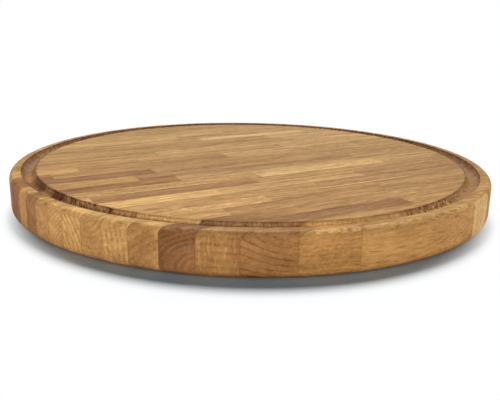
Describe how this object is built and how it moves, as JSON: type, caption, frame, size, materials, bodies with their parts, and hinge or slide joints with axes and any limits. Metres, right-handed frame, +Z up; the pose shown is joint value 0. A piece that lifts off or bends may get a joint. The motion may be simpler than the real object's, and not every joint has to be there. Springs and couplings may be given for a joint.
{
  "type": "steak board",
  "caption": "Round wooden steak board glued up from narrow oak sticks, with a softly rounded rim and a juice groove running round the cutting face.",
  "frame": {"origin": "middle of the flat underside, on the surface that the board lies on", "axes": "+Z up through the middle of the disc to the cutting face, -Y towards the viewer of the picture, +X to the right; the grain runs at 30 degrees from +X towards +Y"},
  "size_m": [0.4, 0.4, 0.03],
  "materials": {
    "oak_pale": "oiled, satin, pale oak",
    "oak_light": "oiled, satin, light oak",
    "oak_medium": "oiled, satin, medium oak",
    "oak_brown": "oiled, satin, brown oak",
    "oak_dark": "oiled, satin, dark oak"
  },
  "bodies": {
    "root": {"stave_back_01_a": "oak_brown", "stave_back_01_b": "oak_light", "stave_back_01_c": "oak_brown", "stave_back_02_a": "oak_light", "stave_back_02_b": "oak_brown", "stave_back_02_c": "oak_light", "stave_back_03_a": "oak_medium", "stave_back_03_b": "oak_light", "stave_back_04_a": "oak_brown", "stave_back_04_b": "oak_light", "stave_back_05_a": "oak_medium", "stave_back_05_b": "oak_light", "stave_back_06_a": "oak_medium", "stave_back_06_b": "oak_light", "stave_back_07_a": "oak_brown", "stave_back_07_b": "oak_pale", "stave_back_07_c": "oak_medium", "stave_back_08_a": "oak_light", "stave_back_08_b": "oak_medium", "stave_back_09_a": "oak_medium", "stave_back_09_b": "oak_light", "stave_back_10_a": "oak_medium", "stave_back_11_a": "oak_light", "stave_back_12_a": "oak_medium", "stave_back_13_a": "oak_light", "stave_front_01_a": "oak_dark", "stave_front_01_b": "oak_medium", "stave_front_02_a": "oak_light", "stave_front_02_b": "oak_brown", "stave_front_02_c": "oak_medium", "stave_front_02_d": "oak_light", "stave_front_03_a": "oak_dark", "stave_front_03_b": "oak_medium", "stave_front_04_a": "oak_light", "stave_front_04_b": "oak_pale", "stave_front_04_c": "oak_medium", "stave_front_05_a": "oak_pale", "stave_front_05_b": "oak_dark", "stave_front_05_c": "oak_medium", "stave_front_06_a": "oak_pale", "stave_front_06_b": "oak_light", "stave_front_06_c": "oak_brown", "stave_front_07_a": "oak_light", "stave_front_07_b": "oak_light", "stave_front_07_c": "oak_brown", "stave_front_08_a": "oak_light", "stave_front_08_b": "oak_medium", "stave_front_08_c": "oak_medium", "stave_front_09_a": "oak_light", "stave_front_09_b": "oak_medium", "stave_front_09_c": "oak_medium", "stave_front_10_a": "oak_dark", "stave_front_10_b": "oak_medium", "stave_front_11_a": "oak_light", "stave_front_11_b": "oak_dark", "stave_front_11_c": "oak_light", "stave_front_12_a": "oak_brown", "stave_front_12_b": "oak_light", "stave_front_13_a": "oak_light", "stave_front_13_b": "oak_medium"}
  },
  "joints": []
}
